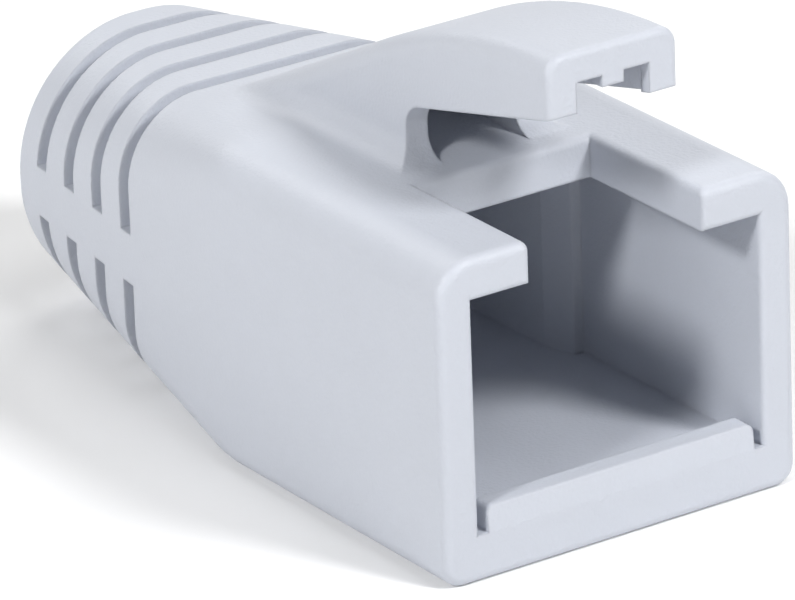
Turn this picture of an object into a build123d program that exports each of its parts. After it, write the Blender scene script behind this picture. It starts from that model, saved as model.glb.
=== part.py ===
"""Strain relief boot for an eight-way modular network plug: one moulded piece, sizes in millimetres.

The boot is drawn with the mouth that takes the plug in the plane y = 0 and the cable leaving towards +Y.
+Z is up, z = 0 is the flat underside and x = 0 is the middle plane. At the end it is moved along Y, so
that the middle of its underside is the origin.
"""

import os
from math import cos, radians, sin, tan

from build123d import *

# Box that holds the plug
cavity_width = 12.0
cavity_height = 8.6
cavity_depth = 10.7
side_wall = 1.4
floor_thickness = 1.75
roof_thickness = 1.55
box_length = 13.9
top_corner_radius = 1.5
bottom_corner_radius = 0.8
rim_round = 0.35
mouth_round = 0.2

# Throat: the narrower passage that leads from the plug's space to the hole for the cable
throat_entry_width = 11.2
throat_width = 10.4
throat_funnel_length = 1.3
throat_ceiling_drop = 0.45
throat_end = 17.0
throat_end_round = 1.0

# Slot in the roof for the plug's latch
slot_width = 7.2
slot_length = 6.6
slot_edge_round = 0.3

# Ledge across the floor of the mouth
ledge_height = 0.95
ledge_thickness = 0.9
ledge_front_slope = 0.12
ledge_back_slope = 0.8
ledge_side_gap = 0.4
ledge_corner_round = 0.3

# Tail: a shoulder that narrows from the box, then the collar for the cable
total_length = 30.35
taper_ease = 0.75
shoulder_drop = 0.77
collar_width = 10.8
collar_height = 10.55
collar_flat = 0.1
collar_end_chamfer = 0.35
cable_bore_diameter = 8.2

# Grooves that let the collar bend, and the spines between them on the two sides
groove_count = 4
groove_width = 0.8
groove_depth = 0.8
groove_pitch = 2.35
collar_start_band = 0.4
collar_end_band = 1.85
spine_width = 1.95
spine_height = 5.35

# Hood over the latch: in side view its top is an arc from the mouth, then a straight slope to the roof
hood_width = 5.4
hood_front_rise = 6.28
hood_slope_angle = 26.0
hood_end_gap = 0.06
hood_root_sink = 0.9
hood_edge_round = 0.7
hood_front_round = 0.25
hood_root_round = 1.0

# Jaw between the hood and the roof
hood_front_face_height = 2.2
jaw_depth = 8.55
jaw_back_height = 2.05
jaw_round = 0.98

# Hollow under the hood, its front wall with a notch, and the rib that stiffens it. The hollow follows the
# hood's arc and then a share of the straight slope that leads down to the roof.
hood_cheek = 0.9
hood_shell = 1.1
hood_front_wall = 0.5
hood_notch_width = 3.0
hollow_slope_share = 0.39
rib_width = 0.9
rib_height = 0.42

# Overshoot of the cutting solids, what counts as zero and how upright a normal of the hood's top is
cut_margin = 1.0
tiny = 0.001
upright = 0.8

# Sizes that follow from the ones above
throat_funnel_end = cavity_depth + throat_funnel_length
body_width = cavity_width + 2 * side_wall
cavity_top = floor_thickness + cavity_height
body_height = cavity_top + roof_thickness
shoulder_height = body_height - shoulder_drop
straight_length = box_length - taper_ease
taper_start = box_length + taper_ease
tail_length = total_length - box_length
collar_length = collar_start_band + (groove_count - 1) * groove_pitch + groove_width + collar_end_band
collar_start = total_length - collar_length
shoulder_length = collar_start - box_length
collar_radius = collar_height / 2
collar_corner = (min(collar_width, collar_height) - collar_flat) / 2
ledge_width = cavity_width - 2 * ledge_side_gap
ledge_top = floor_thickness + ledge_height
ledge_foot = floor_thickness / 2
hood_slope = radians(hood_slope_angle)
hood_front_top = body_height + hood_front_rise
hood_root_height = body_height - hood_root_sink
hood_root_start = slot_length / 2
hood_root_end = collar_start - hood_end_gap
hood_full_ramp = (hood_front_top - hood_root_height) / tan(hood_slope)
hood_crown_radius = (hood_root_end - hood_full_ramp) / tan(hood_slope / 2)
hood_bend_reach = hood_crown_radius * sin(hood_slope)
hood_front_bottom = hood_front_top - hood_front_face_height
jaw_top = body_height + jaw_back_height
jaw_slope = (hood_front_bottom - jaw_top) / jaw_depth
hollow_width = hood_width - 2 * hood_cheek
hollow_bend_top = hood_front_top - hood_shell - hood_crown_radius * (1 - cos(hood_slope))
hollow_ramp = hollow_slope_share * (hollow_bend_top - body_height) / tan(hood_slope)
hollow_length = hood_bend_reach + hollow_ramp
notch_top = hood_front_top - hood_shell
notch_drop = notch_top - hood_front_bottom + cut_margin


def taper_run(distance):
    """Length of taper behind a distance from the mouth, with a soft start around the end of the box."""
    past_ease = distance - straight_length
    if past_ease <= 0:
        return 0.0
    if past_ease < 2 * taper_ease:
        return past_ease ** 2 / (4 * taper_ease)
    return past_ease - taper_ease


def roof_height(run):
    """Height of the roof at a run along the taper: straight over the shoulder, then over the collar."""
    if run < shoulder_length:
        return body_height + (shoulder_height - body_height) * run / shoulder_length
    return shoulder_height + (collar_height - shoulder_height) * (run - shoulder_length) / collar_length


def body_section(distance, inset=0.0):
    """Sketches the outside of the boot across the cable at a distance from the mouth."""
    run = taper_run(distance)
    share = run / tail_length
    width = body_width + (collar_width - body_width) * share
    height = roof_height(run)
    top_radius = top_corner_radius + (collar_corner - top_corner_radius) * share
    bottom_radius = bottom_corner_radius + (collar_corner - bottom_corner_radius) * share
    with BuildSketch(Plane.XZ.offset(-distance)) as outline:
        with Locations((0, height / 2)):
            Rectangle(width - 2 * inset, height - 2 * inset)
        fillet(outline.vertices().group_by(Axis.Y)[-1], top_radius - inset * share)
        fillet(outline.vertices().group_by(Axis.Y)[0], bottom_radius - inset * share)
    return outline.sketch


def groove_centres():
    """Distances of the grooves' middles from the mouth, from the cable end forwards."""
    last = total_length - collar_end_band - groove_width / 2
    return [last - groove_pitch * step for step in range(groove_count)]


def crown_curve(drop=0.0):
    """Draws the hood's curved top in side view, lowered by a drop, from the mouth to the bend."""
    return JernArc((0, hood_front_top - drop), (1, 0), hood_crown_radius, -hood_slope_angle)


def on_hood_root(edge):
    """True for the edges where the solid hood meets the top of the boot."""
    box = edge.bounding_box()
    narrow = abs(edge.center().X) < hood_width / 2 + tiny and box.size.X < hood_width + tiny
    low = hood_root_height + tiny < box.min.Z and box.max.Z < body_height + tiny
    return narrow and low and tiny < box.max.Y < hood_root_end


def on_slot_edge(edge):
    """True for the upper edges of the slot in the roof."""
    box = edge.bounding_box()
    on_top = abs(box.min.Z - body_height) < tiny and box.size.Z < tiny
    in_slot = box.max.X < slot_width / 2 + tiny and tiny < box.max.Y < slot_length + tiny
    return on_top and in_slot


def on_mouth_edge(edge):
    """True for the inner edges of the mouth and the slot in the front face, above the floor."""
    box = edge.bounding_box()
    inside = abs(edge.center().X) < cavity_width / 2 + tiny
    above_floor = edge.center().Z > floor_thickness + tiny and box.max.Z < body_height
    return box.max.Y < tiny and inside and above_floor


# Inner core that the grooves stop at
with BuildPart() as groove_core:
    loft([body_section(station, groove_depth) for station in (collar_start, total_length)], ruled=True)

# Slabs for the grooves above and below the spines
with BuildPart() as groove_cutters:
    for height, direction in ((spine_height + spine_width / 2, 1), (spine_height - spine_width / 2, -1)):
        with BuildSketch(Plane.XY.offset(height)):
            with Locations(*[(0, centre) for centre in groove_centres()]):
                Rectangle(body_width + 2 * cut_margin, groove_width)
        extrude(amount=direction * body_height)
    add(groove_core.part, mode=Mode.SUBTRACT)

# Hood as a solid tongue, rounded along its top and its front before the jaw is cut
with BuildPart() as tongue:
    with BuildSketch(Plane.YZ.offset(-hood_width / 2)):
        with BuildLine():
            crown = crown_curve()
            ramp = Line(crown @ 1, (hood_root_end, hood_root_height))
            Polyline(
                ramp @ 1,
                (hood_root_start, hood_root_height),
                (hood_root_start, jaw_top),
                (0, jaw_top),
                crown @ 0,
            )
        make_face()
    extrude(amount=hood_width)
    upper_faces = tongue.faces().filter_by(lambda face: face.normal_at().Z > upright)
    rails = upper_faces.edges().filter_by(lambda edge: edge.bounding_box().size.X < tiny)
    fillet(rails, hood_edge_round)
    front_edges = tongue.faces().sort_by(Axis.Y)[0].edges()
    front_rim = front_edges.filter_by(lambda edge: edge.bounding_box().min.Z > jaw_top)
    fillet(front_rim, hood_front_round)

# Jaw: the open gap between the hood and the roof
with BuildPart() as jaw:
    with BuildSketch(Plane.YZ.offset(-body_width)):
        with BuildLine():
            jaw_line = FilletPolyline(
                (-cut_margin, hood_front_bottom + jaw_slope * cut_margin),
                (jaw_depth, jaw_top),
                (jaw_depth, body_height),
                (-cut_margin, body_height),
                radius=jaw_round,
            )
            Line(jaw_line @ 1, jaw_line @ 0)
        make_face()
    extrude(amount=2 * body_width)

# Hollow under the hood, with the narrower notch in its front wall and without the rib
with BuildPart() as hood_hollow:
    with BuildSketch(Plane.YZ.offset(-hollow_width / 2)):
        with BuildLine():
            shell_line = crown_curve(hood_shell)
            shell_ramp = Line(shell_line @ 1, shell_line @ 1 + (hollow_ramp, -hollow_ramp * tan(hood_slope)))
            Polyline(shell_ramp @ 1, (hollow_length, body_height), (0, body_height), shell_line @ 0)
        make_face()
        with Locations((0, body_height)):
            Rectangle(2 * hood_front_wall, 2 * hood_front_rise, mode=Mode.SUBTRACT)
    extrude(amount=hollow_width)
    with BuildSketch(Plane.XZ.offset(cut_margin)):
        with Locations((0, notch_top)):
            Rectangle(hood_notch_width, notch_drop, align=(Align.CENTER, Align.MAX))
    extrude(amount=-(cut_margin + hood_front_wall))
    with BuildSketch(Plane.YZ.offset(-rib_width / 2)):
        with BuildLine():
            rib_top = crown_curve(hood_shell / 2)
            rib_foot = crown_curve(hood_shell + rib_height)
            Line(rib_top @ 0, rib_foot @ 0)
            Line(rib_top @ 1, rib_foot @ 1)
        make_face()
    extrude(amount=rib_width, mode=Mode.SUBTRACT)

# Ledge across the mouth, clear of the side walls
with BuildPart() as ledge:
    with BuildSketch(Plane.YZ.offset(-ledge_width / 2)):
        with BuildLine():
            Polyline(
                (0, ledge_foot),
                (0, floor_thickness),
                (ledge_front_slope, ledge_top),
                (ledge_thickness, ledge_top),
                (ledge_thickness + ledge_back_slope, floor_thickness),
                (ledge_thickness + ledge_back_slope, ledge_foot),
                close=True,
            )
        make_face()
    extrude(amount=ledge_width)
    fillet(ledge.edges().filter_by(Axis.Y).group_by(Axis.Z)[-1], ledge_corner_round)

# Space for the plug
with BuildPart() as plug_space:
    with BuildSketch(Plane.XZ.offset(cut_margin)):
        with Locations((0, floor_thickness)):
            Rectangle(cavity_width, cavity_height, align=(Align.CENTER, Align.MIN))
    extrude(amount=-(cut_margin + cavity_depth))

# Throat behind the plug's space, which narrows like a funnel at its start
with BuildPart() as throat:
    with BuildSketch(Plane.XY.offset(floor_thickness)):
        with BuildLine():
            Polyline(
                (0, cavity_depth - cut_margin),
                (throat_entry_width / 2, cavity_depth - cut_margin),
                (throat_entry_width / 2, cavity_depth),
                (throat_width / 2, throat_funnel_end),
                (throat_width / 2, throat_end),
                (0, throat_end),
            )
            mirror(about=Plane.YZ)
        make_face()
    extrude(amount=cavity_height - throat_ceiling_drop)
    fillet(throat.edges().filter_by(Axis.Z).group_by(Axis.Y)[-1], throat_end_round)

# Space for the latch: a slot through the roof that flares at its upper edge
with BuildPart() as latch_space:
    with BuildSketch(Plane.XY.offset(body_height)):
        with Locations((0, -cut_margin)):
            Rectangle(slot_width, slot_length + cut_margin, align=(Align.CENTER, Align.MIN))
    extrude(amount=-(roof_thickness + tiny))
    with BuildSketch(Plane.XY.offset(body_height)):
        with Locations((0, -cut_margin)):
            Rectangle(
                slot_width + 2 * cut_margin,
                slot_length + 2 * cut_margin,
                align=(Align.CENTER, Align.MIN),
            )
    extrude(amount=cut_margin)
    fillet(latch_space.edges().filter_by(on_slot_edge), slot_edge_round)

# Hole for the cable
with BuildPart() as cable_space:
    with BuildSketch(Plane.XZ.offset(-total_length - cut_margin)):
        with Locations((0, collar_radius)):
            Circle(cable_bore_diameter / 2)
    extrude(amount=total_length + cut_margin - throat_end)

# The boot: a box and a tapered tail with the hood on top, then its openings, then the ledge
with BuildPart() as boot:
    extrude(body_section(0), amount=-straight_length)
    fillet(boot.faces().sort_by(Axis.Y)[0].edges(), rim_round)
    loft([body_section(station) for station in (straight_length, box_length, taper_start)])
    loft([body_section(station) for station in (taper_start, collar_start, total_length)], ruled=True)
    chamfer(boot.faces().sort_by(Axis.Y)[-1].edges(), collar_end_chamfer)
    add(tongue.part)
    fillet(boot.edges().filter_by(on_hood_root), hood_root_round)
    for opening in (jaw, plug_space, throat, latch_space, hood_hollow, cable_space, groove_cutters):
        add(opening.part, mode=Mode.SUBTRACT)
    add(ledge.part)
    fillet(boot.edges().filter_by(on_mouth_edge), mouth_round)

# The finished piece, with the middle of its underside at the origin
with BuildPart() as strain_relief_boot:
    with Locations((0, -total_length / 2, 0)):
        add(boot.part)

strain_relief_boot.part.label = "strain_relief_boot"
os.makedirs("parts", exist_ok=True)
export_step(strain_relief_boot.part, "parts/strain_relief_boot.step")
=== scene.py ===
"""Looks of a strain relief boot for a modular network plug: one moulded piece on a plain white table.

The boot lies as it was packed: the mouth that takes the plug faces -Y, the cable leaves towards +Y, and the
flat underside is at z = 0. Sizes are in metres and angles in degrees; only the camera's lens and sensor are
in millimetres.
"""

import logging
import math
from dataclasses import dataclass, field
from enum import Enum

import bpy
from mathutils import Matrix, Vector

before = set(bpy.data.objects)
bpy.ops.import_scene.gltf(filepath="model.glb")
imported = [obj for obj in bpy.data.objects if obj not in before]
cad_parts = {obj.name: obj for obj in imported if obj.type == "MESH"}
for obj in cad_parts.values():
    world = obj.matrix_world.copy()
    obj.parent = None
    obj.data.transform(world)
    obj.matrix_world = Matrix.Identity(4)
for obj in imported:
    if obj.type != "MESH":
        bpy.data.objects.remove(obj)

logging.basicConfig(level=logging.INFO, format="%(name)s: %(message)s")
log = logging.getLogger("boot_scene")

MM = 0.001
WHITE = (1.0, 1.0, 1.0, 1.0)
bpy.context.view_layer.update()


class SeenBy(Enum):
    """Rays that see the floor and the room as shown, by their outputs on the Light Path node."""

    CAMERA = "Is Camera Ray"
    GLOSSY = "Is Glossy Ray"
    TRANSMISSION = "Is Transmission Ray"


def deselect_all() -> None:
    """Leaves edit mode and clears the selection."""
    if bpy.context.object is not None and bpy.context.object.mode != "OBJECT":
        bpy.ops.object.mode_set(mode="OBJECT")
    bpy.ops.object.select_all(action="DESELECT")


def clear_default_scene() -> None:
    """Deletes what a new Blender file holds beside the loaded frame."""
    deselect_all()
    for name in ("Cube", "Light", "Camera"):
        if name in bpy.data.objects:
            bpy.data.objects[name].select_set(True)
    bpy.ops.object.delete()


def direction(azimuth: float, elevation: float) -> Vector:
    """Turns two angles into the direction from the boot to a lamp or the camera.

    Args:
        azimuth: The angle around Z, from -Y towards +X.
        elevation: The angle above the table.

    Returns:
        The direction, with a length of 1.
    """
    around = math.radians(azimuth)
    above = math.radians(elevation)
    level = math.cos(above)
    return Vector((math.sin(around) * level, -math.cos(around) * level, math.sin(above)))


def seen_strength(tree: bpy.types.NodeTree, shown: float) -> bpy.types.NodeSocket:
    """Adds nodes for a strength that only the rays of SeenBy meet, and that is 0 for diffuse light.

    Args:
        tree: The node tree to add to.
        shown: The strength that those rays meet.

    Returns:
        The socket with the strength.
    """
    path = tree.nodes.new("ShaderNodeLightPath")
    seen = path.outputs[SeenBy.CAMERA.value]
    for ray in (SeenBy.GLOSSY, SeenBy.TRANSMISSION):
        either = tree.nodes.new("ShaderNodeMath")
        either.operation = "ADD"
        either.use_clamp = True
        tree.links.new(seen, either.inputs[0])
        tree.links.new(path.outputs[ray.value], either.inputs[1])
        seen = either.outputs[0]
    strength = tree.nodes.new("ShaderNodeMapRange")
    strength.inputs["To Max"].default_value = shown
    tree.links.new(seen, strength.inputs["Value"])
    return strength.outputs["Result"]


@dataclass(frozen=True)
class Noise:
    """One noise in the plastic, by its scale per metre and its layers of finer detail."""

    scale: float
    detail: float


@dataclass(frozen=True)
class MouldedPlastic:
    """Pale blue-grey matte plastic with soft edges and the fine grain that the mould leaves on it."""

    name: str = "boot_plastic_moulded"
    colour: tuple[float, float, float] = (0.545, 0.57, 0.629)
    cloud: Noise = Noise(scale=260.0, detail=3.0)
    cloud_shade: float = 0.965
    sheen: Noise = Noise(scale=900.0, detail=4.0)
    roughness_low: float = 0.42
    roughness_high: float = 0.54
    ripple: Noise = Noise(scale=420.0, detail=1.0)
    ripple_depth: float = 0.02 * MM
    grain: Noise = Noise(scale=7000.0, detail=2.0)
    grain_depth: float = 0.02 * MM
    specular_level: float = 0.4
    edge_softness: float = 0.15 * MM
    edge_samples: int = 4

    def material(self) -> bpy.types.Material:
        """Makes the node material.

        Returns:
            The new material.
        """
        made = bpy.data.materials.new(self.name)
        made.use_nodes = True
        nodes = made.node_tree.nodes
        links = made.node_tree.links
        shader = nodes["Principled BSDF"]
        shader.inputs["Specular IOR Level"].default_value = self.specular_level
        place = nodes.new("ShaderNodeTexCoord")

        def texture(noise: Noise) -> bpy.types.NodeSocket:
            """Adds a noise that reads the object's own coordinates.

            Args:
                noise: The noise to add.

            Returns:
                The socket with its value.
            """
            added = nodes.new("ShaderNodeTexNoise")
            added.inputs["Scale"].default_value = noise.scale
            added.inputs["Detail"].default_value = noise.detail
            links.new(place.outputs["Object"], added.inputs["Vector"])
            return added.outputs["Fac"]

        def relief(noise: Noise, depth: float, under: bpy.types.NodeSocket) -> bpy.types.NodeSocket:
            """Adds a noise as shallow relief.

            Args:
                noise: The noise that gives the height.
                depth: The relief's depth.
                under: The socket with the normal that it lies on.

            Returns:
                The socket with the new normal.
            """
            bump = nodes.new("ShaderNodeBump")
            bump.inputs["Distance"].default_value = depth
            links.new(texture(noise), bump.inputs["Height"])
            links.new(under, bump.inputs["Normal"])
            return bump.outputs["Normal"]

        tint = nodes.new("ShaderNodeMix")
        tint.data_type = "RGBA"
        tint.inputs["A"].default_value = (*(c * self.cloud_shade for c in self.colour), 1.0)
        tint.inputs["B"].default_value = (*self.colour, 1.0)
        links.new(texture(self.cloud), tint.inputs["Factor"])
        links.new(tint.outputs["Result"], shader.inputs["Base Color"])

        roughness = nodes.new("ShaderNodeMapRange")
        roughness.inputs["To Min"].default_value = self.roughness_low
        roughness.inputs["To Max"].default_value = self.roughness_high
        links.new(texture(self.sheen), roughness.inputs["Value"])
        links.new(roughness.outputs["Result"], shader.inputs["Roughness"])

        edges = nodes.new("ShaderNodeBevel")
        edges.samples = self.edge_samples
        edges.inputs["Radius"].default_value = self.edge_softness
        rippled = relief(self.ripple, self.ripple_depth, edges.outputs["Normal"])
        grained = relief(self.grain, self.grain_depth, rippled)
        links.new(grained, shader.inputs["Normal"])
        return made


@dataclass
class Boot:
    """The boot: the frame's own solid, whose shape is right, in its moulded plastic."""

    node: str = "strain_relief_boot"
    finish: MouldedPlastic = field(default_factory=MouldedPlastic)

    def dress(self) -> bpy.types.Object:
        """Puts the plastic in the solid's material slot.

        Returns:
            The dressed solid.
        """
        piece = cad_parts[self.node]
        plastic = self.finish.material()
        for place in piece.material_slots:
            place.material = plastic
        return piece


@dataclass(frozen=True)
class TablePaint:
    """Matte white paint, shown a little lighter than the lamps alone make it."""

    name: str = "floor_white"
    colour: tuple[float, float, float] = (0.9, 0.9, 0.9)
    roughness: float = 0.9
    specular_level: float = 0.0
    lift: float = 0.05

    def material(self) -> bpy.types.Material:
        """Makes the node material.

        Returns:
            The new material.
        """
        made = bpy.data.materials.new(self.name)
        made.use_nodes = True
        tree = made.node_tree
        shader = tree.nodes["Principled BSDF"]
        shader.inputs["Base Color"].default_value = (*self.colour, 1.0)
        shader.inputs["Roughness"].default_value = self.roughness
        shader.inputs["Specular IOR Level"].default_value = self.specular_level
        shader.inputs["Emission Color"].default_value = WHITE
        tree.links.new(seen_strength(tree, self.lift), shader.inputs["Emission Strength"])
        return made


@dataclass
class Table:
    """The plain white floor, which keeps the boot's shadow, and the white room around it."""

    half_width: float = 4.0
    paint: TablePaint = field(default_factory=TablePaint)
    room_strength: float = 1.0

    def build(self) -> bpy.types.Object:
        """Lays the floor under the boot.

        Returns:
            The floor.
        """
        deselect_all()
        bpy.ops.mesh.primitive_plane_add(size=2 * self.half_width, location=(0, 0, 0))
        floor = bpy.context.object
        floor.name = "floor"
        return floor

    def dress(self, floor: bpy.types.Object) -> None:
        """Paints the floor and the room, which the camera sees as white.

        Args:
            floor: The floor.
        """
        floor.data.materials.append(self.paint.material())

        room = bpy.data.worlds.new("white_room")
        room.use_nodes = True
        bpy.context.scene.world = room
        tree = room.node_tree
        background = tree.nodes["Background"]
        background.inputs["Color"].default_value = WHITE
        tree.links.new(seen_strength(tree, self.room_strength), background.inputs["Strength"])


@dataclass(frozen=True)
class Lamp:
    """One soft round studio lamp, placed by its direction from the boot."""

    name: str
    azimuth: float
    elevation: float
    size: float
    strength: float
    distance: float = 0.7
    aim: tuple[float, float, float] = (0.0, 0.0, 6.0 * MM)

    def build(self) -> bpy.types.Object:
        """Hangs the lamp.

        Returns:
            The lamp's object.
        """
        outwards = direction(self.azimuth, self.elevation)
        panel = bpy.data.lights.new(self.name, "AREA")
        panel.shape = "DISK"
        panel.size = self.size
        panel.energy = self.strength
        lamp = bpy.data.objects.new(self.name, panel)
        bpy.context.scene.collection.objects.link(lamp)
        lamp.location = Vector(self.aim) + outwards * self.distance
        lamp.rotation_mode = "QUATERNION"
        lamp.rotation_quaternion = outwards.to_track_quat("Z", "Y")
        lamp.visible_camera = False
        return lamp


@dataclass
class Studio:
    """The lamps: a small key from the left that shines through the latch slot, and broad ones around it."""

    lamps: tuple[Lamp, ...] = (
        Lamp("key_lamp", azimuth=-71, elevation=36, size=0.12, strength=2.6),
        Lamp("front_lamp", azimuth=23, elevation=40, size=0.16, strength=3.35),
        Lamp("top_lamp", azimuth=15, elevation=70, size=0.25, strength=0.85),
        Lamp("right_back_lamp", azimuth=120, elevation=35, size=0.45, strength=1.5),
        Lamp("back_lamp", azimuth=180, elevation=35, size=0.25, strength=0.8),
        Lamp("left_back_lamp", azimuth=-130, elevation=14, size=0.25, strength=0.55),
        Lamp("left_low_lamp", azimuth=-70, elevation=14, size=0.25, strength=0.35),
    )

    def build(self) -> None:
        """Hangs every lamp."""
        for lamp in self.lamps:
            lamp.build()
            log.info("lamp %s at %.2f W", lamp.name, lamp.strength)


@dataclass
class PhotoCamera:
    """The camera at the photograph's viewing angle, moved right and up in its own plane to frame the boot."""

    aim: tuple[float, float, float] = (0.0, -5.175 * MM, 6.0 * MM)
    azimuth: float = -33.53
    elevation: float = 22.67
    roll: float = -2.12
    right: float = -1.95 * MM
    rise: float = -0.4 * MM
    distance: float = 279.82 * MM
    lens: float = 362.26
    sensor_width: float = 36.0
    clip_start: float = 0.01
    clip_end: float = 20.0

    def build(self) -> bpy.types.Object:
        """Places the camera and makes it the scene's.

        Returns:
            The camera.
        """
        around = math.radians(self.azimuth)
        turn = math.radians(self.roll)
        backwards = direction(self.azimuth, self.elevation)
        level = Vector((math.cos(around), math.sin(around), 0.0))
        upright = backwards.cross(level)
        across = math.cos(turn) * level + math.sin(turn) * upright
        upwards = -math.sin(turn) * level + math.cos(turn) * upright
        place = Vector(self.aim) + self.right * across + self.rise * upwards + self.distance * backwards
        view = bpy.data.cameras.new("photo_camera")
        view.lens = self.lens
        view.sensor_width = self.sensor_width
        view.clip_start = self.clip_start
        view.clip_end = self.clip_end
        camera = bpy.data.objects.new("photo_camera", view)
        bpy.context.scene.collection.objects.link(camera)
        turned = Matrix((across, upwards, backwards)).transposed().to_4x4()
        camera.matrix_world = Matrix.Translation(place) @ turned
        bpy.context.scene.camera = camera
        return camera


def main() -> None:
    """Dresses the boot, and builds the table, the lamps and the camera."""
    clear_default_scene()
    piece = Boot().dress()
    log.info("%s has %d faces", piece.name, len(piece.data.polygons))
    table = Table()
    table.dress(table.build())
    Studio().build()
    PhotoCamera().build()
    bpy.context.scene.view_settings.view_transform = "Standard"
    bpy.context.view_layer.update()


if __name__ == "__main__":
    main()
